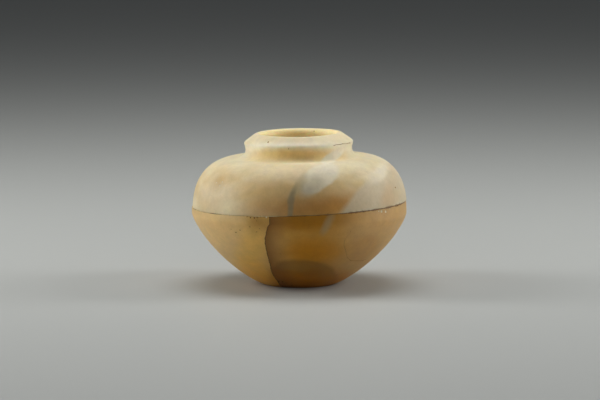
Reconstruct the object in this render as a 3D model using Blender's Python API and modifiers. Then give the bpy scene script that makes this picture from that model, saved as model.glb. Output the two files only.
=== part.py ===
"""Collared bowl of banded, translucent stone, ground as two halves and joined at the belly.

Metres, +Z up. The origin is on the floor, under the middle of the base, and -Y is the front.
Both halves are turned to one outline and meet at a joint a little above the widest place. The
lower one stands upright on its flat base. The joint was ground out of level, with its right side
the higher one, and the upper half leans to the left by about half as much.
"""

import math

import bmesh
import bpy
from mathutils import Matrix

MM = 0.001

# Lower half
BELLY_RADIUS = 65.3 * MM  # outside, where the vessel is widest
BELLY_HEIGHT = 43.5 * MM  # of the widest place above the floor
BASE_RADIUS = 20.2 * MM  # flat that it stands on
FLANK_FULLNESS = 1.35  # of each curve: 1 is a straight slope, 2 a quarter ellipse
WALL = 7.5 * MM  # both halves, at the belly and under the shoulder
FLOOR_THICKNESS = 10.0 * MM
HOLLOW_FLOOR_RADIUS = 14.0 * MM

# The joint
JOINT_RISE = 5.4 * MM  # of the joint above the widest place, on the axis
JOINT_LEAN = math.radians(1.9)  # the right side is the higher one
JOINT_GAP = 0.3 * MM

# Upper half, from the belly upwards
UPPER_LEAN = math.radians(1.0)
UPPER_SHIFT = 0.4 * MM  # it sits this far to the right of the lower half
SHOULDER_HEIGHT = 33.9 * MM  # from the belly to the level top of the shoulder
SHOULDER_FULLNESS = 2.35
SHOULDER_LEDGE = 0.3 * MM  # level part round the foot of the neck
NECK_FILLET = 4.8 * MM
NECK_RADIUS = 32.3 * MM
NECK_WALL = 9.7 * MM
NECK_UPRIGHT = 0.3 * MM  # straight part of the neck
LIP_OVERHANG = 0.9 * MM  # how far the lip stands out from the neck
LIP_UNDERCUT = 4.2 * MM  # from the neck up to where the lip is widest
LIP_CREST = 5.4 * MM  # from there up to the top
LIP_FULLNESS = 1.02  # nearly a plain bevel
MOUTH_ROUND = 3.2 * MM  # worn inner edge of the lip
THROAT_ROUND = 3.0 * MM  # where the neck's bore opens out under the shoulder

# The break in the lower half, which starts at the joint: how far round from the front, in degrees,
# and how far down the flank from the belly at 0 to the base at 1
BREAK_COURSE = (
    (-15.6, 0.00),
    (-16.2, 0.04),
    (-18.2, 0.17),
    (-19.6, 0.24),
    (-20.3, 0.33),
    (-20.7, 0.41),
    (-21.4, 0.49),
    (-22.8, 0.56),
    (-24.2, 0.65),
    (-23.8, 0.73),
    (-26.3, 0.86),
)
BREAK_WIDTH = 0.9 * MM
BREAK_SIDES = 6

# How many steps each turn and curve is drawn in
TURNED_STEPS = 64
FLANK_STEPS = 14
HOLLOW_FLANK_STEPS = 9
SHOULDER_STEPS = 11
HOLLOW_SHOULDER_STEPS = 7
RIM_STEPS = 2  # of each half, between the belly and the joint
LIP_STEPS = 6
NECK_STEPS = 3  # the undercut, and the fillet at the neck's foot
ROUND_STEPS = 3  # the mouth's inner edge, and the throat

SPARE = 1.0 * MM  # what stands past a cut, to be cut away
SHARP_ANGLE = math.radians(35)
STONE_COLOUR = (0.62, 0.50, 0.30, 1.0)
DAMP_STONE_COLOUR = (0.50, 0.36, 0.17, 1.0)


def clear_scene():
    for thing in list(bpy.data.objects):
        bpy.data.objects.remove(thing, do_unlink=True)


def new_collection(name):
    collection = bpy.data.collections.new(name)
    bpy.context.scene.collection.children.link(collection)
    return collection


def stone(name, colour):
    """Polished travertine: lets a little light in, and has a soft shine."""
    material = bpy.data.materials.new(name)
    material.use_nodes = True
    shader = material.node_tree.nodes["Principled BSDF"]
    shader.inputs["Base Color"].default_value = colour
    shader.inputs["Roughness"].default_value = 0.45
    shader.inputs["Metallic"].default_value = 0.0
    return material


def arc(centre, radius, start, end, steps):
    """Points (radius, height) on part of a circle, from one angle in degrees to another."""
    points = []
    for step in range(steps + 1):
        angle = math.radians(start + (end - start) * step / steps)
        points.append((centre[0] + radius * math.cos(angle), centre[1] + radius * math.sin(angle)))
    return points


def swell(share, fullness):
    """How far out and how far along a swelling curve is, from (1, 0) at share 0 to (0, 1) at 1."""
    turn = share * math.pi / 2
    return math.cos(turn) ** (2 / fullness), math.sin(turn) ** (2 / fullness)


def flank_point(share, rim_radius, foot_radius, foot_height):
    """A point (radius, height) on a flank that falls from the belly at 0 to its foot at 1."""
    out, down = swell(share, FLANK_FULLNESS)
    return (
        foot_radius + (rim_radius - foot_radius) * out,
        BELLY_HEIGHT - (BELLY_HEIGHT - foot_height) * down,
    )


def hill(centre, reach, fullness, steps, start=0.0):
    """Points (radius, height) up a rounded hill to its level top, from its widest place or from
    the height start above that."""
    first = math.asin((start / reach[1]) ** (fullness / 2)) * 2 / math.pi
    points = []
    for step in range(steps, -1, -1):
        out, up = swell(1 - (1 - first) * step / steps, fullness)
        points.append((centre[0] + reach[0] * out, centre[1] + reach[1] * up))
    return points


def shoulder_radius(height, outside):
    """How wide the outside or the hollow is at a height above the belly."""
    centre = NECK_RADIUS + NECK_FILLET + SHOULDER_LEDGE
    depth = 0.0 if outside else WALL
    risen = (height / (SHOULDER_HEIGHT - depth)) ** SHOULDER_FULLNESS
    return centre + (BELLY_RADIUS - depth - centre) * (1 - risen) ** (1 / SHOULDER_FULLNESS)


def turned(name, profile, closed, collection):
    """An object whose profile, in the XZ plane, is turned about Z by a Screw modifier."""
    mesh = bpy.data.meshes.new(name)
    shape = bmesh.new()
    corners = [shape.verts.new((radius, 0, height)) for radius, height in profile]
    for first, second in zip(corners, corners[1:]):
        shape.edges.new((first, second))
    if closed:
        shape.edges.new((corners[-1], corners[0]))
    shape.to_mesh(mesh)
    shape.free()
    thing = bpy.data.objects.new(name, mesh)
    collection.objects.link(thing)
    screw = thing.modifiers.new("turn", "SCREW")
    screw.axis = "Z"
    screw.angle = math.tau
    screw.steps = TURNED_STEPS
    screw.render_steps = TURNED_STEPS
    screw.use_merge_vertices = True
    screw.merge_threshold = 0.00001
    screw.use_smooth_shade = True
    return thing


def finish(thing, material):
    thing.data.materials.append(material)
    thing.data.shade_smooth()
    thing.data.set_sharp_from_angle(angle=SHARP_ANGLE)


def cut_away(thing, cutter, label):
    boolean = thing.modifiers.new(label, "BOOLEAN")
    boolean.operation = "DIFFERENCE"
    boolean.solver = "EXACT"
    boolean.object = cutter
    cutter.hide_render = True
    cutter.display_type = "WIRE"


def lower_profile():
    """From the hollow's floor up the inside, over the rim, and down the outside to the base."""
    rise = JOINT_RISE + BELLY_RADIUS * math.tan(JOINT_LEAN) + SPARE
    points = [(0.0, FLOOR_THICKNESS)]
    for step in range(HOLLOW_FLANK_STEPS, -1, -1):
        share = step / HOLLOW_FLANK_STEPS
        points.append(flank_point(share, BELLY_RADIUS - WALL, HOLLOW_FLOOR_RADIUS, FLOOR_THICKNESS))
    for step in range(1, RIM_STEPS + 1):
        height = rise * step / RIM_STEPS
        points.append((shoulder_radius(height, False), BELLY_HEIGHT + height))
    for step in range(RIM_STEPS, 0, -1):
        height = rise * step / RIM_STEPS
        points.append((shoulder_radius(height, True), BELLY_HEIGHT + height))
    for step in range(FLANK_STEPS + 1):
        points.append(flank_point(step / FLANK_STEPS, BELLY_RADIUS, BASE_RADIUS, 0.0))
    points.append((0.0, 0.0))
    return points


def upper_profile():
    """A closed loop round the wall's section, with its heights counted from the belly."""
    mouth_radius = NECK_RADIUS - NECK_WALL
    crest_radius = mouth_radius + MOUTH_ROUND
    lip_radius = NECK_RADIUS + LIP_OVERHANG
    fillet_height = SHOULDER_HEIGHT + NECK_FILLET
    neck_top = fillet_height + NECK_UPRIGHT
    widest_height = neck_top + LIP_UNDERCUT
    crest_height = widest_height + LIP_CREST
    shoulder_centre = NECK_RADIUS + NECK_FILLET + SHOULDER_LEDGE
    hollow_top = SHOULDER_HEIGHT - WALL
    lowest = JOINT_RISE - BELLY_RADIUS * math.tan(JOINT_LEAN - UPPER_LEAN) - SPARE

    mouth_centre = (crest_radius, crest_height - MOUTH_ROUND)
    points = arc(mouth_centre, MOUTH_ROUND, 180, 90, ROUND_STEPS)
    lip_reach = (lip_radius - crest_radius, LIP_CREST)
    points += hill((crest_radius, widest_height), lip_reach, LIP_FULLNESS, LIP_STEPS)[-2::-1]
    for step in range(1, NECK_STEPS + 1):
        share = step / NECK_STEPS
        overhang = LIP_OVERHANG * (1 + math.cos(math.pi * share)) / 2
        points.append((NECK_RADIUS + overhang, widest_height - LIP_UNDERCUT * share))
    points += arc((NECK_RADIUS + NECK_FILLET, fillet_height), NECK_FILLET, 180, 270, NECK_STEPS)
    shoulder_reach = (BELLY_RADIUS - shoulder_centre, SHOULDER_HEIGHT)
    points += hill((shoulder_centre, 0), shoulder_reach, SHOULDER_FULLNESS, SHOULDER_STEPS, lowest)[::-1]
    hollow_reach = (BELLY_RADIUS - WALL - shoulder_centre, hollow_top)
    points += hill((shoulder_centre, 0), hollow_reach, SHOULDER_FULLNESS, HOLLOW_SHOULDER_STEPS, lowest)
    throat_centre = (mouth_radius + THROAT_ROUND, hollow_top + THROAT_ROUND)
    points += arc(throat_centre, THROAT_ROUND, 270, 180, ROUND_STEPS)
    return points


def joint_cutter(name, side, collection):
    """A block with one face at the joint: side is 1 for all above it, -1 for all below it. It
    reaches half the gap past the joint."""
    width = 3 * BELLY_RADIUS
    height = BELLY_RADIUS
    bpy.ops.mesh.primitive_cube_add(size=1)
    block = bpy.context.object
    block.name = name
    shape = Matrix.Diagonal((width, width, height, 1))
    block.data.transform(Matrix.Translation((0, 0, side * (height - JOINT_GAP) / 2)) @ shape)
    block.location = (0, 0, BELLY_HEIGHT + JOINT_RISE)
    block.rotation_euler = (0, -JOINT_LEAN, 0)
    for owner in list(block.users_collection):
        owner.objects.unlink(block)
    collection.objects.link(block)
    return block


def break_cutter(collection):
    """A thin rod laid along the break, half sunk in the flank, made a mesh so that it can cut."""
    course = [(BREAK_COURSE[0][0], shoulder_radius(JOINT_RISE, True), BELLY_HEIGHT + JOINT_RISE)]
    for degrees, share in BREAK_COURSE:
        course.append((degrees, *flank_point(share, BELLY_RADIUS, BASE_RADIUS, 0.0)))
    places = []
    for degrees, radius, height in course:
        around = math.radians(degrees)
        places.append((radius * math.sin(around), -radius * math.cos(around), height))
    curve = bpy.data.curves.new("break_line", "CURVE")
    curve.dimensions = "3D"
    curve.bevel_depth = BREAK_WIDTH / 2
    curve.bevel_resolution = BREAK_SIDES // 2 - 2
    curve.use_fill_caps = True
    line = curve.splines.new("POLY")
    line.points.add(len(places) - 1)
    for point, place in zip(line.points, places):
        point.co = (*place, 1)
    guide = bpy.data.objects.new("break_line", curve)
    collection.objects.link(guide)
    mesh = bpy.data.meshes.new_from_object(guide.evaluated_get(bpy.context.evaluated_depsgraph_get()))
    rod = bpy.data.objects.new("break_cutter", mesh)
    rod.matrix_world = guide.matrix_world
    bpy.data.objects.remove(guide)
    weld = bmesh.new()
    weld.from_mesh(mesh)
    bmesh.ops.remove_doubles(weld, verts=weld.verts, dist=0.01 * MM)
    bmesh.ops.recalc_face_normals(weld, faces=weld.faces)
    weld.to_mesh(mesh)
    weld.free()
    collection.objects.link(rod)
    return rod


def lower_half(parts, cutters):
    thing = turned("lower_half", lower_profile(), False, parts)
    cut_away(thing, joint_cutter("rim_cutter", 1, cutters), "leaning rim")
    cut_away(thing, break_cutter(cutters), "break")
    finish(thing, stone("damp_travertine", DAMP_STONE_COLOUR))


def upper_half(parts, cutters):
    thing = turned("upper_half", upper_profile(), True, parts)
    thing.location = (UPPER_SHIFT, 0, BELLY_HEIGHT)
    thing.rotation_euler = (0, -UPPER_LEAN, 0)
    cut_away(thing, joint_cutter("seat_cutter", -1, cutters), "leaning seat")
    finish(thing, stone("pale_travertine", STONE_COLOUR))


def main():
    clear_scene()
    parts = new_collection("collared_bowl")
    cutters = new_collection("cutters")
    lower_half(parts, cutters)
    upper_half(parts, cutters)


main()
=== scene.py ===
"""Looks of the collared stone bowl: two ground halves of banded travertine, the dark line of
cement between them, the break in the lower half, and a plain studio around it."""

import math
import random

import bpy
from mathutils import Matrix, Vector


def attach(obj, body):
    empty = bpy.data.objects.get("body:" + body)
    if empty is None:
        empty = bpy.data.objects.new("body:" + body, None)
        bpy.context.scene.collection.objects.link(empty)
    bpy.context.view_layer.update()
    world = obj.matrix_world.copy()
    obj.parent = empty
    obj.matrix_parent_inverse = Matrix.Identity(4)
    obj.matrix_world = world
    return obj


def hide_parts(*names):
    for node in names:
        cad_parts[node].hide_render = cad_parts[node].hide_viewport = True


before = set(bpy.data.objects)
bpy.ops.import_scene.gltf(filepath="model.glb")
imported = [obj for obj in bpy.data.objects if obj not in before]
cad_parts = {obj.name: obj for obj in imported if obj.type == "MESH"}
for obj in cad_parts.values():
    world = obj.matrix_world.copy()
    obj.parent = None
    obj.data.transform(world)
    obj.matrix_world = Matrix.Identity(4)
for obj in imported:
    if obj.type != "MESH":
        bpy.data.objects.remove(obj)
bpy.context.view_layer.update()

MM = 0.001
random.seed(7)

# The bowl's sizes, as its solids have them
BELLY_RADIUS = 65.3 * MM
BELLY_HEIGHT = 43.5 * MM
BASE_RADIUS = 20.2 * MM
FLANK_FULLNESS = 1.35
WALL = 7.5 * MM
FLOOR_THICKNESS = 10.0 * MM
HOLLOW_FLOOR_RADIUS = 14.0 * MM
JOINT_RISE = 5.4 * MM
JOINT_LEAN = math.radians(1.9)
JOINT_GAP = 0.3 * MM
UPPER_LEAN = math.radians(1.0)
UPPER_SHIFT = 0.4 * MM
SHOULDER_HEIGHT = 33.9 * MM
SHOULDER_FULLNESS = 2.35
SHOULDER_LEDGE = 0.3 * MM
NECK_FILLET = 4.8 * MM
NECK_RADIUS = 32.3 * MM
NECK_WALL = 9.7 * MM
NECK_UPRIGHT = 0.3 * MM
LIP_OVERHANG = 0.9 * MM
LIP_UNDERCUT = 4.2 * MM
LIP_CREST = 5.4 * MM
LIP_FULLNESS = 1.02
MOUTH_ROUND = 3.2 * MM
THROAT_ROUND = 3.0 * MM

# How finely the halves are turned, and how uneven hand grinding left them
TURNED_STEPS = 400
OUTSIDE_SPACING = 0.95 * MM
INSIDE_SPACING = 1.9 * MM
HAND_WAVE = 30 * MM
HAND_DEPTH = 0.4 * MM
WEAR_SPACING = 0.3 * MM
WEAR_PASSES = 8
RIM_WEAR = 0.12 * MM
RIM_STEPS = ((1.0, 0.0), (0.7, 0.3), (0.3, 0.7))  # shares of the wear: towards the joint, and sideways
SMOOTH_ANGLE = math.radians(40)
CUT_TOLERANCE = 0.0001 * MM
SAME_POINT = 0.001 * MM
SEAM_GAP = 0.01 * MM
SPARE = 2.0 * MM  # how far the turned lines run past the joint, before they are cut off there
FAR = 1.0  # metres, past everything

# Degrees round from the front, and share of the way down the flank from the belly to the base
BREAK_COURSE = (
    (-15.6, 0.00),
    (-16.2, 0.04),
    (-18.2, 0.17),
    (-19.6, 0.24),
    (-20.3, 0.33),
    (-20.7, 0.41),
    (-21.4, 0.49),
    (-22.8, 0.56),
    (-24.2, 0.65),
    (-23.8, 0.73),
    (-26.3, 0.86),
)
HAIRLINE_COURSE = (
    (28.8, 0.13),
    (28.8, 0.17),
    (27.6, 0.20),
    (26.5, 0.245),
    (27.2, 0.30),
    (29.0, 0.34),
    (31.6, 0.39),
    (34.0, 0.435),
    (39.6, 0.48),
    (51.7, 0.50),
    (59.0, 0.495),
)

# A thin brown crease along the right of the lip (x, y, z in millimetres)
LIP_CREASE = (
    (20.6, -25.8, 86.6),
    (22.6, -24.1, 87.2),
    (24.6, -22.0, 87.0),
    (26.6, -19.6, 87.3),
    (28.4, -16.8, 86.9),
    (29.9, -14.0, 87.0),
    (31.2, -10.8, 86.7),
)

# Pits (x, y, z in millimetres, size in millimetres) that the front shows
UPPER_PITS = (
    (-18.7, -24.2, 88.7, 0.55),
    (-6.3, -32.4, 85.3, 0.50),
    (57.4, -24.7, 61.0, 0.60),
    (9.0, 20.8, 90.7, 0.45),
)
PALE_PITS = (
    (-47.6, -38.3, 64.0, 0.55),
    (-45.1, -41.9, 63.2, 0.45),
    (-49.7, -34.3, 65.4, 0.50),
    (-46.2, -38.1, 66.3, 0.40),
    (-50.6, -36.9, 60.7, 0.45),
)
LOWER_PITS = (
    (-11.2, -53.0, 24.9, 0.60),
    (-12.3, -29.4, 5.3, 0.90),
    (-9.9, -29.7, 5.1, 0.70),
    (-4.2, -26.5, 2.5, 0.75),
    (-35.2, -53.1, 38.9, 0.45),
    (-37.7, -50.3, 37.3, 0.50),
    (-25.3, -58.2, 38.5, 0.45),
    (-23.4, -60.0, 40.6, 0.40),
    (-39.7, -48.0, 39.8, 0.40),
    (-28.5, -56.0, 42.2, 0.45),
    (-24.8, -59.0, 45.3, 0.40),
)
# Chips under the joint: degrees round from the front, drop below the joint, size, in millimetres
DIRTY_CHIPS = (
    (-26.4, 0.8, 0.50),
    (-24.2, 1.0, 0.60),
    (3.0, 0.2, 0.50),
    (36.0, 0.2, 0.50),
    (66.0, 0.3, 0.60),
)
SOAKED_CHIPS = (
    (-28.4, 0.4, 0.55),
    (-22.4, 0.6, 0.60),
    (-20.4, 0.4, 0.50),
    (-12.0, 0.2, 0.45),
)
PALE_CHIPS = (
    (-17.4, 0.5, 0.50),
    (46.9, 1.3, 0.40),
    (49.0, 1.7, 0.85),
    (52.6, 2.1, 0.90),
    (56.5, 1.0, 0.45),
)
DIRTY_BELOW = 8  # millimetres: pits lower than this hold dirt
PIT_GAP = 3 * MM  # between pits, and between a pit and the joint, on the hidden sides

# The lumps that pits are cut with, as shares of their size: how far their middles stand out of the
# stone, how they are squashed, and how rough they are
PIT_LIFT = 0.45
PIT_SQUASH = (0.75, 1.3)
PIT_ROUGH = 0.22

# The rods that cracks are cut with: thickness, how far they stray sideways, and how uneven they are
BREAK_WIDTH, BREAK_STRAY = 0.55 * MM, 0.18 * MM
HAIRLINE_WIDTH, HAIRLINE_STRAY = 0.36 * MM, 0.12 * MM
CREASE_WIDTH = 0.4 * MM
CRACK_UNEVEN = (0.7, 1.15)
CRACK_STEPS = 40
CRACK_SPACING = 1.0 * MM
CRACK_START = 0.5 * MM

# Chips and pits on the sides that the photograph hides: degrees round from the front, and millimetres
HIDDEN_CHIPS = 26
HIDDEN_CHIP_SIDES = (92, 268)
HIDDEN_CHIP_SIZES = (0.4, 0.8)
HIDDEN_CHIP_DROPS = (0.3, 1.0)
CHIPS_BELOW_JOINT = 0.65
CHIPS_BRUISED = 0.3
HIDDEN_PITS = 40
HIDDEN_PIT_SIDES = (95, 265)
HIDDEN_PIT_SIZES = (0.35, 0.6)
HIDDEN_PIT_HEIGHTS = (8, 86)
HIDDEN_PIT_START = 60 * MM  # from the upright axis, where the way to the nearest stone starts

# The ring of cement: its edges against the stone lie back, its middle stands proud, and it ends
# short of the hollow
CEMENT_BACK = 0.03 * MM
CEMENT_PROUD = 0.04 * MM
CEMENT_SHORT = 1.2 * MM


def colour(code):
    """An sRGB hex value as linear red, green, blue and alpha."""
    parts = [int(code[place : place + 2], 16) / 255 for place in (0, 2, 4)]
    linear = [part / 12.92 if part <= 0.04045 else ((part + 0.055) / 1.055) ** 2.4 for part in parts]
    return (*linear, 1.0)


def add(tree, kind, inputs=None, **settings):
    """Adds one node with its settings, and sets or links its inputs."""
    node = tree.nodes.new("ShaderNode" + kind)
    for name, value in settings.items():
        setattr(node, name, value)
    for socket, value in (inputs or {}).items():
        if isinstance(value, bpy.types.NodeSocket):
            tree.links.new(value, node.inputs[socket])
        else:
            node.inputs[socket].default_value = value
    return node


def deselect():
    """Leaves edit mode, with nothing selected."""
    if bpy.context.object and bpy.context.object.mode != "OBJECT":
        bpy.ops.object.mode_set(mode="OBJECT")
    bpy.ops.object.select_all(action="DESELECT")


def pick(thing):
    """Selects one piece alone and makes it the active one."""
    deselect()
    bpy.context.view_layer.objects.active = thing
    thing.select_set(True)


def settle(thing):
    """Puts the piece's place into its mesh."""
    pick(thing)
    bpy.ops.object.transform_apply(location=True, rotation=True, scale=True)


def apply(thing, kind, **settings):
    """Adds a modifier with its settings and applies it."""
    modifier = thing.modifiers.new(kind, kind)
    for name, value in settings.items():
        setattr(modifier, name, value)
    pick(thing)
    bpy.ops.object.modifier_apply(modifier=modifier.name)


# Lines (radius, height) that the halves are turned from


def arc(centre, radius, start, end, steps):
    """Points along part of a circle, from one angle to another in degrees."""
    points = []
    for step in range(steps + 1):
        angle = math.radians(start + (end - start) * step / steps)
        points.append((centre[0] + radius * math.cos(angle), centre[1] + radius * math.sin(angle)))
    return points


def swell(share, fullness):
    """How far out and up a rounded quarter is, at a share of its turn; 2 is a circle."""
    turn = share * math.pi / 2
    return math.cos(turn) ** (2 / fullness), math.sin(turn) ** (2 / fullness)


def flank_point(share, rim_radius, foot_radius, foot_height):
    """Radius and height at a share of the way down the flank from the belly."""
    out, down = swell(share, FLANK_FULLNESS)
    return (
        foot_radius + (rim_radius - foot_radius) * out,
        BELLY_HEIGHT - (BELLY_HEIGHT - foot_height) * down,
    )


def hill(centre, reach, fullness, steps, start=0.0):
    """Up a rounded hill to its level top, from its widest place or from the height start above it."""
    first = math.asin((start / reach[1]) ** (fullness / 2)) * 2 / math.pi
    points = []
    for step in range(steps, -1, -1):
        out, up = swell(1 - (1 - first) * step / steps, fullness)
        points.append((centre[0] + reach[0] * out, centre[1] + reach[1] * up))
    return points


def shoulder_radius(height, outside):
    """How wide the outside or the hollow is at a height above the belly."""
    centre = NECK_RADIUS + NECK_FILLET + SHOULDER_LEDGE
    depth = 0.0 if outside else WALL
    risen = (height / (SHOULDER_HEIGHT - depth)) ** SHOULDER_FULLNESS
    return centre + (BELLY_RADIUS - depth - centre) * (1 - risen) ** (1 / SHOULDER_FULLNESS)


def even_out(points, spacing):
    """The same line with its points evenly spaced, about so far apart."""
    lengths = [math.dist(a, b) for a, b in zip(points, points[1:])]
    count = max(2, round(sum(lengths) / spacing))
    places = []
    piece = 0
    done = 0.0
    for step in range(count + 1):
        target = sum(lengths) * step / count
        while piece < len(lengths) - 1 and done + lengths[piece] < target:
            done += lengths[piece]
            piece += 1
        along = min((target - done) / lengths[piece], 1)
        (r0, h0), (r1, h1) = points[piece], points[piece + 1]
        places.append((r0 + (r1 - r0) * along, h0 + (h1 - h0) * along))
    return places


def worn(points, spacing):
    """The same line with its sharp turns worn round over about a millimetre."""
    places = even_out(points, WEAR_SPACING)
    for _ in range(WEAR_PASSES):
        middle = [
            tuple((a + 2 * b + c) / 4 for a, b, c in zip(*three))
            for three in zip(places, places[1:], places[2:])
        ]
        places = [places[0], *middle, places[-1]]
    return even_out(places, spacing)


def lower_line():
    """The lower half, from the middle of the hollow's floor, over the joint, to the middle of the base."""
    rise = JOINT_RISE + BELLY_RADIUS * math.tan(JOINT_LEAN) + SPARE
    heights = [rise * step / 8 for step in range(1, 9)]
    inside = [(0.0, FLOOR_THICKNESS)]
    for step in range(40, -1, -1):
        inside.append(flank_point(step / 40, BELLY_RADIUS - WALL, HOLLOW_FLOOR_RADIUS, FLOOR_THICKNESS))
    inside += [(shoulder_radius(height, False), BELLY_HEIGHT + height) for height in heights]
    outside = [(shoulder_radius(height, True), BELLY_HEIGHT + height) for height in reversed(heights)]
    for step in range(61):
        outside.append(flank_point(step / 60, BELLY_RADIUS, BASE_RADIUS, -HAND_DEPTH))
    outside.append((0.0, -HAND_DEPTH))
    return even_out(inside, INSIDE_SPACING) + even_out(outside, OUTSIDE_SPACING)


def upper_line():
    """The upper half, from the mouth's edge down the outside, and up the hollow to the throat."""
    mouth_radius = NECK_RADIUS - NECK_WALL
    crest_radius = mouth_radius + MOUTH_ROUND
    lip_radius = NECK_RADIUS + LIP_OVERHANG
    fillet_height = SHOULDER_HEIGHT + NECK_FILLET
    neck_top = fillet_height + NECK_UPRIGHT
    widest_height = neck_top + LIP_UNDERCUT
    crest_height = widest_height + LIP_CREST
    shoulder_centre = NECK_RADIUS + NECK_FILLET + SHOULDER_LEDGE
    hollow_top = SHOULDER_HEIGHT - WALL
    lowest = JOINT_RISE - BELLY_RADIUS * math.tan(JOINT_LEAN - UPPER_LEAN) - SPARE
    lip_reach = (lip_radius - crest_radius, LIP_CREST)
    shoulder_reach = (BELLY_RADIUS - shoulder_centre, SHOULDER_HEIGHT)
    hollow_reach = (BELLY_RADIUS - WALL - shoulder_centre, hollow_top)
    throat_centre = (mouth_radius + THROAT_ROUND, hollow_top + THROAT_ROUND)

    outside = arc((crest_radius, crest_height - MOUTH_ROUND), MOUTH_ROUND, 180, 90, 6)
    outside += hill((crest_radius, widest_height), lip_reach, LIP_FULLNESS, 24)[-2::-1]
    for step in range(1, 13):
        overhang = LIP_OVERHANG * (1 + math.cos(math.pi * step / 12)) / 2
        outside.append((NECK_RADIUS + overhang, widest_height - LIP_UNDERCUT * step / 12))
    outside += arc((NECK_RADIUS + NECK_FILLET, fillet_height), NECK_FILLET, 180, 270, 10)
    outside += hill((shoulder_centre, 0), shoulder_reach, SHOULDER_FULLNESS, 50, lowest)[::-1]
    inside = hill((shoulder_centre, 0), hollow_reach, SHOULDER_FULLNESS, 40, lowest)
    inside += arc(throat_centre, THROAT_ROUND, 270, 180, 8)
    return worn(outside, OUTSIDE_SPACING) + even_out(inside, INSIDE_SPACING)


# The stone halves


def turned(name, line, closed):
    """A line drawn by extruding one vertex, then spun round the upright axis."""
    places = [Vector((radius, 0, height)) for radius, height in line]
    if closed:
        places.append(places[0])
    deselect()
    bpy.ops.mesh.primitive_plane_add(size=MM, location=places[0])
    thing = bpy.context.object
    thing.name = name
    bpy.ops.object.mode_set(mode="EDIT")
    bpy.ops.mesh.select_mode(type="VERT")
    bpy.ops.mesh.select_all(action="SELECT")
    bpy.ops.mesh.merge(type="CENTER")
    for here, there in zip(places, places[1:]):
        bpy.ops.mesh.extrude_region_move(TRANSFORM_OT_translate={"value": there - here})
    settle(thing)
    bpy.ops.object.mode_set(mode="EDIT")
    bpy.ops.mesh.select_all(action="SELECT")
    bpy.ops.mesh.remove_doubles(threshold=SAME_POINT)
    bpy.ops.mesh.select_all(action="SELECT")
    bpy.ops.mesh.spin(steps=TURNED_STEPS, angle=math.tau, center=(0, 0, 0), axis=(0, 0, 1))
    bpy.ops.mesh.select_all(action="SELECT")
    bpy.ops.mesh.remove_doubles(threshold=SEAM_GAP)
    bpy.ops.mesh.normals_make_consistent(inside=False)
    bpy.ops.object.mode_set(mode="OBJECT")
    return thing


def hand_ground(thing):
    """Leaves the turned surface a little uneven, as grinding by hand does."""
    clouds = bpy.data.textures.new("hand grinding", "CLOUDS")
    clouds.noise_scale = HAND_WAVE
    clouds.noise_depth = 1
    apply(thing, "DISPLACE", texture=clouds, texture_coords="LOCAL", strength=HAND_DEPTH, mid_level=0.5)


def level_base(thing):
    """Cuts the piece off flat at the floor and closes the cut."""
    pick(thing)
    bpy.ops.object.mode_set(mode="EDIT")
    bpy.ops.mesh.select_mode(type="VERT")
    bpy.ops.mesh.select_all(action="SELECT")
    bpy.ops.mesh.bisect(
        plane_co=(0, 0, 0), plane_no=(0, 0, -1), use_fill=True, clear_outer=True, threshold=CUT_TOLERANCE
    )
    bpy.ops.object.mode_set(mode="OBJECT")


def pick_open_edges(thing, least, most):
    """Selects the open edges that lie between two distances from the upright axis."""
    pick(thing)
    bpy.ops.object.mode_set(mode="EDIT")
    bpy.ops.mesh.select_mode(type="EDGE")
    bpy.ops.mesh.select_all(action="DESELECT")
    bpy.ops.mesh.select_non_manifold(
        use_wire=False, use_boundary=True, use_multi_face=False, use_non_contiguous=False, use_verts=False
    )
    bpy.ops.object.mode_set(mode="OBJECT")
    corners = thing.data.vertices
    for edge in thing.data.edges:
        away = corners[edge.vertices[0]].co.xy.length
        edge.select = edge.select and least < away < most
    bpy.ops.object.mode_set(mode="EDIT")


def joint_face(thing, place, normal):
    """Cuts the piece off just short of the joint, and builds it out to the joint with worn edges."""
    pick(thing)
    bpy.ops.object.mode_set(mode="EDIT")
    bpy.ops.mesh.select_mode(type="VERT")
    bpy.ops.mesh.select_all(action="SELECT")
    bpy.ops.mesh.bisect(
        plane_co=place - normal * 2 * RIM_WEAR, plane_no=normal, clear_outer=True, threshold=CUT_TOLERANCE
    )
    middle = shoulder_radius(JOINT_RISE, True) - WALL / 2
    for least, most, side in ((middle, FAR, -1), (0.0, middle, 1)):
        pick_open_edges(thing, least, most)
        for rise, step in RIM_STEPS:
            bpy.ops.mesh.extrude_region_move(
                TRANSFORM_OT_translate={"value": normal * rise * RIM_WEAR}
            )
            share = 1 + side * step * RIM_WEAR / middle
            bpy.ops.transform.resize(value=(share, share, 1), center_override=place)
    pick_open_edges(thing, 0.0, FAR)
    bpy.ops.mesh.bridge_edge_loops()
    bpy.ops.mesh.select_all(action="SELECT")
    bpy.ops.mesh.normals_make_consistent(inside=False)
    bpy.ops.object.mode_set(mode="OBJECT")


joint_up = Vector((-math.sin(JOINT_LEAN), 0, math.cos(JOINT_LEAN)))
joint_place = Vector((0, 0, BELLY_HEIGHT + JOINT_RISE))

lower = turned("lower_half_stone", lower_line(), False)
hand_ground(lower)
level_base(lower)
joint_face(lower, joint_place - joint_up * JOINT_GAP / 2, joint_up)

upper = turned("upper_half_stone", upper_line(), True)
upper.location = (UPPER_SHIFT, 0, BELLY_HEIGHT)
upper.rotation_euler = (0, -UPPER_LEAN, 0)
settle(upper)
hand_ground(upper)
joint_face(upper, joint_place + joint_up * JOINT_GAP / 2, -joint_up)


# Materials

SIGHT = math.radians(6.8)  # how far the camera looks down

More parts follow.
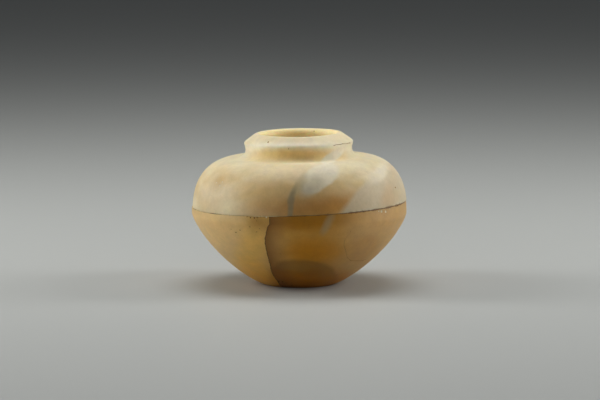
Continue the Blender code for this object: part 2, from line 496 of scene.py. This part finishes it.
# Real sizes of the stone's patterns
WANDER_SIZE = 16 * MM
WANDER_REACH = 5 * MM
LAYER_SIZE = 24 * MM
LAYER_SLANT = (math.radians(20), math.radians(42), 0)
# how far the painted shade on the right of the break reaches
BREAK_SHADE_WIDTH = 13 * MM
RUBBED_SIZE = 5 * MM
RUBBED_WIDTH = 1.1 * MM
CRYSTAL_SIZE = 1.3 * MM
CLOUD_SIZE = 6 * MM
RELIEF_SIZE = 0.8 * MM
RELIEF_DEPTH = 0.05 * MM
GLOW_DEPTH = 7 * MM
# colour of the painted shade on the right of the break
BREAK_SHADE_BROWN = "6C3A02"
RUBBED_BROWN = "7A4C24"


def patch(tree, under, place, centre, turn, reach, soft, tint, strength):
    """Lays a soft-edged ellipsoid of another colour over what is under it, sizes in millimetres.

    Sockets 6 and 7 of a Mix node are its two colours."""
    inside = add(
        tree,
        "Mapping",
        {
            "Vector": place,
            "Location": [part * MM for part in centre],
            "Rotation": (0, -math.radians(turn), 0),
            "Scale": [part * MM for part in reach],
        },
        vector_type="TEXTURE",
    )
    far = add(tree, "VectorMath", {0: inside.outputs[0]}, operation="LENGTH")
    share = add(
        tree,
        "MapRange",
        {
            "Value": far.outputs["Value"],
            "From Min": 1 - soft,
            "From Max": 1 + soft,
            "To Min": strength,
            "To Max": 0,
        },
        interpolation_type="SMOOTHSTEP",
    )
    mixed = add(tree, "Mix", {"Factor": share.outputs[0], 6: under, 7: colour(tint)}, data_type="RGBA")
    return mixed.outputs[2]


def stone(name, pale, honey, patches, grime, roughness):
    """Banded travertine: a waxy, slightly see-through stone, ground to a satin surface.

    It gives the eye soft-edged cream, honey and grey bands, a fine crystal mottle, a warm glow
    where light goes in and comes out again, and hardly any highlight."""
    material = bpy.data.materials.new(name)
    material.use_nodes = True
    tree = material.node_tree
    tree.nodes.clear()
    place = add(tree, "TexCoord").outputs["Object"]

    # Bands wander by a few millimetres, so that no edge is a clean curve
    drift = add(tree, "TexNoise", {"Vector": place, "Scale": 1 / WANDER_SIZE, "Detail": 3.0})
    centred = add(tree, "VectorMath", {0: drift.outputs["Color"], 1: (0.5, 0.5, 0.5)}, operation="SUBTRACT")
    wander = add(
        tree,
        "VectorMath",
        {0: centred.outputs[0], 1: (WANDER_REACH,) * 3, 2: place},
        operation="MULTIPLY_ADD",
    )
    front = add(tree, "Mapping", {"Vector": wander.outputs[0], "Rotation": (SIGHT, 0, 0)}).outputs[0]

    # Layers of the stone slant up to the right, 20 to 40 mm thick
    slanted = add(
        tree,
        "Mapping",
        {"Vector": wander.outputs[0], "Rotation": LAYER_SLANT, "Scale": (0.4, 0.7, 1.3)},
    )
    layers = add(tree, "TexNoise", {"Vector": slanted.outputs[0], "Scale": 1 / LAYER_SIZE, "Detail": 2.5})
    banded = add(
        tree,
        "MapRange",
        {"Value": layers.outputs[0], "From Min": 0.40, "From Max": 0.66, "To Min": 0, "To Max": 1},
        interpolation_type="SMOOTHSTEP",
    )
    ground = add(
        tree, "Mix", {"Factor": banded.outputs[0], 6: colour(honey), 7: colour(pale)}, data_type="RGBA"
    ).outputs[2]
    for centre, turn, reach, soft, tint, strength in patches:
        ground = patch(tree, ground, front, centre, turn, reach, soft, tint, strength)

    # Painted shade on the right of the break alone, where the break stops light passing through the stone
    beside = add(tree, "Attribute", attribute_name="from_break").outputs["Fac"]
    fading = add(
        tree,
        "MapRange",
        {"Value": beside, "From Min": 0.2 * MM, "From Max": BREAK_SHADE_WIDTH, "To Min": 0.76, "To Max": 0},
    )
    right_of = add(tree, "Math", {0: beside, 1: 0.0}, operation="GREATER_THAN")
    darkened = add(tree, "Math", {0: fading.outputs[0], 1: right_of.outputs[0]}, operation="MULTIPLY")
    ground = add(
        tree, "Mix", {"Factor": darkened.outputs[0], 6: ground, 7: colour(BREAK_SHADE_BROWN)}, data_type="RGBA"
    ).outputs[2]

    # Brown dirt rubbed into the stone beside the joint, wider in places and on the right
    offset = add(tree, "VectorMath", {0: place, 1: joint_place}, operation="SUBTRACT")
    from_joint = add(tree, "VectorMath", {0: offset.outputs[0], 1: joint_up}, operation="DOT_PRODUCT")
    away = add(tree, "Math", {0: from_joint.outputs["Value"]}, operation="ABSOLUTE")
    uneven = add(
        tree, "TexNoise", {"Vector": place, "Scale": 1 / RUBBED_SIZE, "Detail": 4.0, "Roughness": 0.65}
    )
    across = add(tree, "SeparateXYZ", {0: place}).outputs[0]
    dirtier = add(
        tree,
        "MapRange",
        {"Value": across, "From Min": 0, "From Max": 35 * MM, "To Min": -0.12, "To Max": 0.07},
    )
    thickness = add(tree, "Math", {0: uneven.outputs[0], 1: dirtier.outputs[0]}, operation="ADD")
    width = add(
        tree,
        "MapRange",
        {
            "Value": thickness.outputs[0],
            "From Min": 0.42,
            "From Max": 0.7,
            "To Min": 0.02 * MM,
            "To Max": RUBBED_WIDTH,
        },
    )
    nearness = add(tree, "Math", {0: away.outputs[0], 1: width.outputs[0]}, operation="DIVIDE")
    rubbed = add(
        tree,
        "MapRange",
        {"Value": nearness.outputs[0], "From Min": 0.3, "From Max": 1.2, "To Min": grime, "To Max": 0},
        interpolation_type="SMOOTHSTEP",
    )
    ground = add(
        tree, "Mix", {"Factor": rubbed.outputs[0], 6: ground, 7: colour(RUBBED_BROWN)}, data_type="RGBA"
    ).outputs[2]

    # Crystal mottle 1 to 2 mm across, drawn a little coarser than the real grain so that it shows
    grain = add(
        tree, "TexNoise", {"Vector": place, "Scale": 1 / CRYSTAL_SIZE, "Detail": 2.0, "Roughness": 0.6}
    )
    clouding = add(tree, "TexNoise", {"Vector": place, "Scale": 1 / CLOUD_SIZE, "Detail": 3.0})
    both = add(
        tree, "Math", {0: grain.outputs[0], 1: 0.55, 2: clouding.outputs[0]}, operation="MULTIPLY_ADD"
    )
    shade = add(
        tree,
        "MapRange",
        {"Value": both.outputs[0], "From Min": 0.5, "From Max": 1.05, "To Min": 0.92, "To Max": 1.08},
    )
    mottled = add(
        tree, "Mix", {"Factor": 1.0, 6: ground, 7: shade.outputs[0]}, data_type="RGBA", blend_type="MULTIPLY"
    )

    # The ground surface: faint crystal relief, and a sheen that varies with the clouding
    fine = add(tree, "TexNoise", {"Vector": place, "Scale": 1 / RELIEF_SIZE, "Detail": 3.0})
    relief = add(tree, "Bump", {"Strength": 0.35, "Distance": RELIEF_DEPTH, "Height": fine.outputs[0]})
    matt = add(
        tree,
        "MapRange",
        {
            "Value": clouding.outputs[0],
            "From Min": 0.3,
            "From Max": 0.7,
            "To Min": roughness - 0.06,
            "To Max": roughness + 0.08,
        },
    )
    surface = add(
        tree,
        "BsdfPrincipled",
        {
            "Base Color": mottled.outputs[2],
            "Roughness": matt.outputs[0],
            "IOR": 1.5,
            "Specular IOR Level": 0.2,
            "Subsurface Weight": 0.45,
            "Subsurface Radius": (1.0, 0.62, 0.3),
            "Subsurface Scale": GLOW_DEPTH,
            "Normal": relief.outputs[0],
        },
    )
    tree.links.new(surface.outputs[0], add(tree, "OutputMaterial").inputs[0])
    return material


def dull(name, dark, light, size, roughness, patches=()):
    """A matt, crumbly finish in two close colours, with patches of others."""
    material = bpy.data.materials.new(name)
    material.use_nodes = True
    tree = material.node_tree
    tree.nodes.clear()
    place = add(tree, "TexCoord").outputs["Object"]
    crumbs = add(tree, "TexNoise", {"Vector": place, "Scale": 1 / size, "Detail": 4.0})
    spread = add(tree, "MapRange", {"Value": crumbs.outputs[0], "From Min": 0.35, "From Max": 0.65})
    mixed = add(
        tree, "Mix", {"Factor": spread.outputs[0], 6: colour(dark), 7: colour(light)}, data_type="RGBA"
    ).outputs[2]
    front = add(tree, "Mapping", {"Vector": place, "Rotation": (SIGHT, 0, 0)}).outputs[0]
    for centre, turn, reach, soft, tint, strength in patches:
        mixed = patch(tree, mixed, front, centre, turn, reach, soft, tint, strength)
    relief = add(tree, "Bump", {"Strength": 0.5, "Distance": 0.1 * MM, "Height": crumbs.outputs[0]})
    surface = add(
        tree,
        "BsdfPrincipled",
        {"Base Color": mixed, "Roughness": roughness, "Normal": relief.outputs[0]},
    )
    tree.links.new(surface.outputs[0], add(tree, "OutputMaterial").inputs[0])
    return material


# Patches: centre, slant in degrees, reach, softness, colour and strength. Millimetres; the centre
# and reach are across, in depth and up, on axes tipped so that up is up in the photograph.
PALE_GREY = "F0E6CC"
UPPER_PATCHES = (
    # paler on top of the shoulder and on the lip: the stone's pale tone, partly painted light from above
    ((0, 0, 83), 0, (70, 70, 20), 0.45, "E6DAB6", 0.8),
    # honey over the middle of the shoulder and amber low down in front, both partly painted shade where the
    # front gets less light, and warm beige on the left
    ((-14, -55, 53.6), 20, (26, 20, 14), 0.6, "D8B272", 0.5),
    ((8, -62, 44), 5, (36, 16, 9), 0.7, "BE7E22", 0.8),
    ((-53, -36, 52), 60, (14, 24, 10), 0.6, "D8C29A", 0.7),
    # painted light just under the lip, and the honey-coloured groove below it, lightened with painted light
    # in its shade
    ((-1, -31, 82), 0, (36, 18, 2.8), 0.6, "FFF4D8", 0.9),
    ((-1, -31, 76.6), 0, (27, 16, 4.6), 0.5, "FFDC8C", 0.85),
    # the slanted pale grey lobe, its tail down to the joint, and the vein up to the lip
    ((11, -54, 62.5), 34, (14, 24, 7.6), 0.14, "E4DAC0", 0.9),
    ((7, -56, 58.3), 40, (8.5, 24, 5), 0.4, "CCC0A2", 0.75),
    ((-0.8, -60, 58), 58, (8.5, 14, 3), 0.45, "C0B08A", 0.7),
    ((-4.8, -64, 45.5), 80, (13, 12, 2.0), 0.35, "9C8E6C", 0.8),
    ((20, -38, 76), 38, (17, 16, 2.8), 0.3, PALE_GREY, 0.95),
    # the broad pale band on the right, with a warmer patch in it
    ((51.3, -36, 40), 49, (52, 150, 23), 0.09, "CEBEA0", 0.85),
    ((48, -36, 67), 42, (11, 20, 4.2), 0.5, PALE_GREY, 0.6),
    ((52.5, -34, 50), 70, (10, 20, 6), 0.6, "C8A97E", 0.7),
    # yellow-brown soaked patch on the left shoulder
    ((-47.5, -39, 59.6), 50, (5, 8, 4), 0.7, "B98F45", 0.5),
    # hidden sides, in keeping: two more grey bands and a honey cloud
    ((-20, 50, 59.6), 35, (24, 20, 9), 0.2, "C2B69A", 0.8),
    ((30, 45, 47.6), 50, (14, 20, 4), 0.3, "B3A78F", 0.7),
    ((-45, 30, 52.6), -20, (18, 20, 14), 0.6, "C2944E", 0.5),
    ((8, 58, 44), 10, (40, 24, 12), 0.6, "CCA05A", 0.55),
    # painted light: the inside of the neck painted pale amber for the glow of light coming through
    ((-0.4, -10.3, 87.4), 0, (24.6, 24.6, 60), 0.04, "FFE8AE", 0.95),
)
LOWER_PATCHES = (
    # lighter tan on the left, and pinker tan on the right with a browner spot round the hairline
    ((-44, -30, 31.6), 0, (34, 50, 34), 0.5, "EBCA90", 0.75),
    ((52, -28, 27.6), 0, (38, 50, 34), 0.4, "CEA872", 0.8),
    ((37, -38, 21.6), 20, (12, 20, 9), 0.4, "BA8A4C", 0.5),
    # painted light: a golden glow left of the break, where light passes through the stone up to it, and the
    # stain near its top
    ((-28, -50, 22), 75, (22, 24, 8), 0.7, "ECBC58", 0.6),
    ((-24, -56, 36.5), 0, (6, 14, 4.5), 0.8, "96661E", 0.6),
    # the grey vein under the joint, and honey to amber in the middle of the front, the amber partly painted
    # shade where the front gets less light
    ((16.5, -58, 36.1), 57, (8, 14, 3), 0.4, "A69A78", 0.6),
    ((21, -50, 24), 0, (9, 20, 14), 0.6, "CC9A4A", 0.5),
    ((8, -50, 21.6), 0, (15, 16, 8), 0.6, "BA7A06", 0.85),
    # the greyer brown cloud above the base, amber round the foot partly painted shade low under the belly,
    # and painted light for the glow left of the break there
    ((3, -34, 3), -10, (21, 44, 13.2), 0.1, "70522A", 0.5),
    ((0, -20, -3), 0, (40, 34, 10), 0.6, "B8700E", 0.8),
    ((-27, -28, 6), -35, (13, 34, 9), 0.6, "F0B64A", 0.55),
    # hidden sides, in keeping: tan like the front's left side, with two greyer clouds
    ((-34, 44, 34), 0, (46, 40, 34), 0.5, "DDB880", 0.75),
    ((38, 36, 34), 0, (34, 40, 28), 0.5, "D2A86C", 0.7),
    ((-40, 35, 27.6), 30, (26, 24, 12), 0.3, "C4AE88", 0.6),
    ((25, 50, 31.6), -30, (20, 20, 9), 0.3, "A88448", 0.6),
)
# Where the cement between the halves is darkest, on the same axes
CEMENT_PATCHES = (
    ((-50, -40, 45), 0, (3.5, 12, 30), 0.5, "6E4620", 0.8),
    ((15, -62, 45), 0, (12, 12, 30), 0.4, "6A4018", 0.8),
    ((-1, -64, 45), 0, (8, 12, 30), 0.3, "3A220C", 0.95),
    ((48, -44, 45), 0, (25, 34, 30), 0.15, "5A3214", 0.85),
    ((0, 50, 45), 0, (30, 30, 30), 0.5, "5A3C18", 0.7),
)

# Soil packed into the break and the deeper chips: dark brown, dry and crumbly
dirt = dull("old_dirt_in_breaks", "4A3018", "7A5830", 0.8 * MM, 0.9)
# Small pits that oil and soil soaked into: yellow-brown and a little smoother
soaked = dull("soaked_yellow_brown_pits", "8A6630", "B28A44", 0.8 * MM, 0.8)
# Stone that was knocked: pale and sugary, with its crystals open
bruise = dull("bruised_stone", "CDBF9E", "E4D9BC", 0.6 * MM, 0.7)
# Old cement between the halves: cream to tan, and dark brown where dirt has caught in it
cement = dull("brown_joint_cement", "A8844E", "DCC494", 5.0 * MM, 0.85, CEMENT_PATCHES)
pale_stone = stone("ground_travertine_pale", "E6D8B4", "D6BC88", UPPER_PATCHES, 0.6, 0.5)
amber_stone = stone("ground_travertine_amber", "C08E3A", "AE7616", LOWER_PATCHES, 0.7, 0.5)

for thing, finish in ((lower, amber_stone), (upper, pale_stone)):
    thing.data.materials.clear()
    thing.data.materials.append(finish)


# Breaks, pits and chips, cut out of the stone


def pebble(place, out, size, finish):
    """A small irregular lump, mostly outside the stone, which leaves a shallow pit when cut away."""
    deselect()
    bpy.ops.mesh.primitive_ico_sphere_add(
        subdivisions=2, radius=size * MM, location=place + out * PIT_LIFT * size * MM
    )
    lump = bpy.context.object
    lump.rotation_euler = [random.uniform(0, math.tau) for _ in range(3)]
    lump.scale = [random.uniform(*PIT_SQUASH) for _ in range(3)]
    bpy.ops.object.mode_set(mode="EDIT")
    bpy.ops.transform.vertex_random(offset=PIT_ROUGH * size * MM, seed=random.randrange(10000))
    bpy.ops.object.mode_set(mode="OBJECT")
    lump.data.materials.append(finish)
    settle(lump)
    return lump


def flank_course(course, stray):
    """Uneven places along a course on the flank, from above the joint where it starts at the belly."""
    points = []
    if course[0][1] == 0:
        around = math.radians(course[0][0])
        radius = shoulder_radius(JOINT_RISE, True)
        top = BELLY_HEIGHT + JOINT_RISE + CRACK_START
        points.append(Vector((radius * math.sin(around), -radius * math.cos(around), top)))
    for (a0, s0), (a1, s1) in zip(course, course[1:]):
        for step in range(CRACK_STEPS):
            share = step / CRACK_STEPS
            radius, height = flank_point(s0 + (s1 - s0) * share, BELLY_RADIUS, BASE_RADIUS, -HAND_DEPTH)
            around = math.radians(a0 + (a1 - a0) * share)
            place = Vector((radius * math.sin(around), -radius * math.cos(around), height))
            if not points or (place - points[-1]).length > CRACK_SPACING:
                sideways = Vector((math.cos(around), math.sin(around), 0))
                points.append(place + sideways * random.uniform(-stray, stray))
    return points


def crack(name, points, width, finish):
    """An uneven thin rod laid through the places, half sunk in the stone."""
    deselect()
    bpy.ops.curve.primitive_bezier_curve_add()
    rod = bpy.context.object
    rod.name = name
    rod.data.splines.clear()
    spline = rod.data.splines.new("POLY")
    spline.points.add(len(points) - 1)
    for point, place in zip(spline.points, points):
        point.co = (*place, 1)
        point.radius = random.uniform(*CRACK_UNEVEN)
    rod.data.bevel_depth = width / 2
    rod.data.bevel_resolution = 1
    rod.data.use_fill_caps = True
    bpy.ops.object.convert(target="MESH")
    bpy.ops.object.mode_set(mode="EDIT")
    bpy.ops.mesh.select_all(action="SELECT")
    bpy.ops.mesh.remove_doubles(threshold=SAME_POINT)
    bpy.ops.mesh.normals_make_consistent(inside=False)
    bpy.ops.object.mode_set(mode="OBJECT")
    rod.data.materials.clear()
    rod.data.materials.append(finish)
    return rod


def cut(thing, cutters):
    """Cuts the cutters out of the piece, whose new faces take the cutters' finish."""
    deselect()
    for cutter in cutters:
        cutter.select_set(True)
    bpy.context.view_layer.objects.active = cutters[0]
    if len(cutters) > 1:
        bpy.ops.object.join()
    tool = bpy.context.view_layer.objects.active
    apply(thing, "BOOLEAN", object=tool, operation="DIFFERENCE", solver="EXACT", material_mode="TRANSFER")
    bpy.data.objects.remove(tool)


def on_surface(thing, place):
    """The nearest point of the piece and the way out of it there."""
    return thing.closest_point_on_mesh(place)[1:3]


def beside_joint(degrees, drop):
    """A place on the outside, so many degrees round from the front and millimetres below the joint."""
    around = math.radians(degrees)
    out = Vector((math.sin(around), -math.cos(around), 0)) * shoulder_radius(JOINT_RISE, True)
    return joint_place + out + Vector((0, 0, out.x * math.tan(JOINT_LEAN))) - joint_up * drop * MM


def far_enough(place, others, gap):
    """Whether the place is further than the gap from all the others."""
    return all((place - other).length > gap for other in others)


lower_cuts = []
lower_places = []
for x, y, z, size in LOWER_PITS:
    place, out = on_surface(lower, Vector((x, y, z)) * MM)
    lower_cuts.append(pebble(place, out, size, dirt if z < DIRTY_BELOW else soaked))
    lower_places.append(place)
for chips, finish in ((DIRTY_CHIPS, dirt), (SOAKED_CHIPS, soaked), (PALE_CHIPS, bruise)):
    for degrees, drop, size in chips:
        place, out = on_surface(lower, beside_joint(degrees, drop))
        lower_cuts.append(pebble(place, out, size, finish))
        lower_places.append(place)
upper_cuts = []
upper_places = []
for pits, finish in ((UPPER_PITS, soaked), (PALE_PITS, bruise)):
    for x, y, z, size in pits:
        place, out = on_surface(upper, Vector((x, y, z)) * MM)
        upper_cuts.append(pebble(place, out, size, finish))
        upper_places.append(place)
for _ in range(HIDDEN_CHIPS):
    degrees = random.uniform(*HIDDEN_CHIP_SIDES)
    size = random.uniform(*HIDDEN_CHIP_SIZES)
    if random.random() < CHIPS_BELOW_JOINT:
        thing, cuts, places, side = lower, lower_cuts, lower_places, 1
    else:
        thing, cuts, places, side = upper, upper_cuts, upper_places, -1
    place, out = on_surface(thing, beside_joint(degrees, side * random.uniform(*HIDDEN_CHIP_DROPS)))
    finish = bruise if random.random() < CHIPS_BRUISED else dirt
    if far_enough(place, places, PIT_GAP):
        cuts.append(pebble(place, out, size, finish))
        places.append(place)
for _ in range(HIDDEN_PITS):
    around = math.radians(random.uniform(*HIDDEN_PIT_SIDES))
    height = random.uniform(*HIDDEN_PIT_HEIGHTS) * MM
    beyond = Vector((math.sin(around), -math.cos(around), 0)) * HIDDEN_PIT_START
    size = random.uniform(*HIDDEN_PIT_SIZES)
    if height < joint_place.z:
        thing, cuts, places = lower, lower_cuts, lower_places
    else:
        thing, cuts, places = upper, upper_cuts, upper_places
    place, out = on_surface(thing, beyond + Vector((0, 0, height)))
    from_joint = abs((place - joint_place).dot(joint_up))
    if far_enough(place, places, PIT_GAP) and from_joint > PIT_GAP:
        cuts.append(pebble(place, out, size, random.choice((dirt, soaked))))
        places.append(place)

cut(lower, [crack("break_rod", flank_course(BREAK_COURSE, BREAK_STRAY), BREAK_WIDTH, dirt)])
hairline = flank_course(HAIRLINE_COURSE, HAIRLINE_STRAY)
cut(lower, [crack("hairline_rod", hairline, HAIRLINE_WIDTH, soaked)])
crease = [on_surface(upper, Vector(place) * MM)[0] for place in LIP_CREASE]
cut(upper, [crack("crease_rod", crease, CREASE_WIDTH, soaked)])
cut(lower, lower_cuts)
cut(upper, upper_cuts)


# Old cement and dirt in the joint


def joint_ring():
    """A thin ring that fills the gap between the halves and shows as the line round the belly."""
    half = JOINT_GAP / 2
    outer = shoulder_radius(JOINT_RISE, True)
    inner = shoulder_radius(JOINT_RISE, False) + CEMENT_SHORT
    line = [
        (inner, -half),
        (outer - CEMENT_BACK, -half),
        (outer + CEMENT_PROUD, 0),
        (outer - CEMENT_BACK, half),
        (inner, half),
    ]
    ring = turned("joint_cement", line, True)
    ring.location = joint_place
    ring.rotation_euler = (0, -JOINT_LEAN, 0)
    settle(ring)
    return ring


ring = joint_ring()
ring.data.materials.clear()
ring.data.materials.append(cement)


# How far each point of the lower half is from the break, for the shade beside it


def mark_break(thing):
    """Gives each point its distance round the flank from the break, above 0 on its right."""
    course = []
    for degrees, share in BREAK_COURSE:
        course.append((flank_point(share, BELLY_RADIUS, BASE_RADIUS, 0.0)[1], math.radians(degrees)))
    course.sort()
    values = []
    for vertex in thing.data.vertices:
        x, y, z = vertex.co
        below = [entry for entry in course if entry[0] <= z] or [course[0]]
        above = [entry for entry in course if entry[0] > z] or [course[-1]]
        (z0, a0), (z1, a1) = below[-1], above[0]
        share = (z - z0) / (z1 - z0) if z1 > z0 else 0
        away = math.atan2(x, -y) - (a0 + (a1 - a0) * min(max(share, 0), 1))
        away = (away + math.pi) % math.tau - math.pi
        values.append(away * math.hypot(x, y))
    marks = thing.data.attributes.new("from_break", "FLOAT", "POINT")
    marks.data.foreach_set("value", values)


mark_break(lower)
# The upper half has no break, so all of it counts as left of one
marks = upper.data.attributes.new("from_break", "FLOAT", "POINT")
marks.data.foreach_set("value", [-1.0] * len(upper.data.vertices))

for thing in (lower, upper, ring):
    pick(thing)
    bpy.ops.object.shade_smooth_by_angle(angle=SMOOTH_ANGLE)
    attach(thing, "root")
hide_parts("lower_half")
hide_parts("upper_half")


# The studio: camera, floor and lights

camera = bpy.data.cameras.new("camera")
camera_object = bpy.data.objects.new("camera", camera)
bpy.context.collection.objects.link(camera_object)
bpy.context.scene.camera = camera_object
CAMERA_DISTANCE = 2.4
FRAME_WIDTH = 0.3648  # what the 600 pixels take in at the bowl, at 0.608 mm a pixel
camera.sensor_width = 36
camera.lens = camera.sensor_width * CAMERA_DISTANCE / FRAME_WIDTH
aim = Vector((0.49 * MM, 0, 50.67 * MM))  # what lies in the middle of the photograph
camera_object.location = aim + Vector((0, -math.cos(SIGHT), math.sin(SIGHT))) * CAMERA_DISTANCE
camera_object.rotation_euler = (math.radians(90) - SIGHT, 0, 0)

deselect()
FLOOR_SIZE = 14
bpy.ops.mesh.primitive_plane_add(size=FLOOR_SIZE, location=(0, 0, 0))
floor = bpy.context.object
floor.name = "studio_floor"
paper = bpy.data.materials.new("pale_studio_paper")
paper.use_nodes = True
sheet = paper.node_tree.nodes["Principled BSDF"]
sheet.inputs["Base Color"].default_value = colour("B4B6B2")
sheet.inputs["Roughness"].default_value = 0.6
floor.data.materials.append(paper)


def softbox(name, place, size, power):
    """A broad soft light that faces the bowl; places and sizes in metres, power in watts."""
    light = bpy.data.lights.new(name, "AREA")
    light.shape = "RECTANGLE"
    light.size, light.size_y = size
    light.energy = power
    lamp = bpy.data.objects.new(name, light)
    lamp.location = place
    lamp.rotation_euler = (Vector(place) - aim).to_track_quat("Z", "Y").to_euler()
    bpy.context.collection.objects.link(lamp)


softbox("top_softbox", (0.0, 0.25, 1.1), (0.9, 0.7), 7.0)
softbox("left_softbox", (-1.0, 0.15, 0.45), (0.35, 0.8), 7.4)
softbox("right_softbox", (1.0, 0.15, 0.45), (0.35, 0.8), 6.5)
softbox("front_fill", (0.0, -1.65, 0.75), (1.2, 0.8), 3.1)

world = bpy.data.worlds.new("studio")
bpy.context.scene.world = world
world.use_nodes = True
surround = world.node_tree.nodes["Background"]
surround.inputs["Color"].default_value = colour("C8CCD0")
surround.inputs["Strength"].default_value = 0.12
bpy.context.scene.view_settings.view_transform = "Standard"
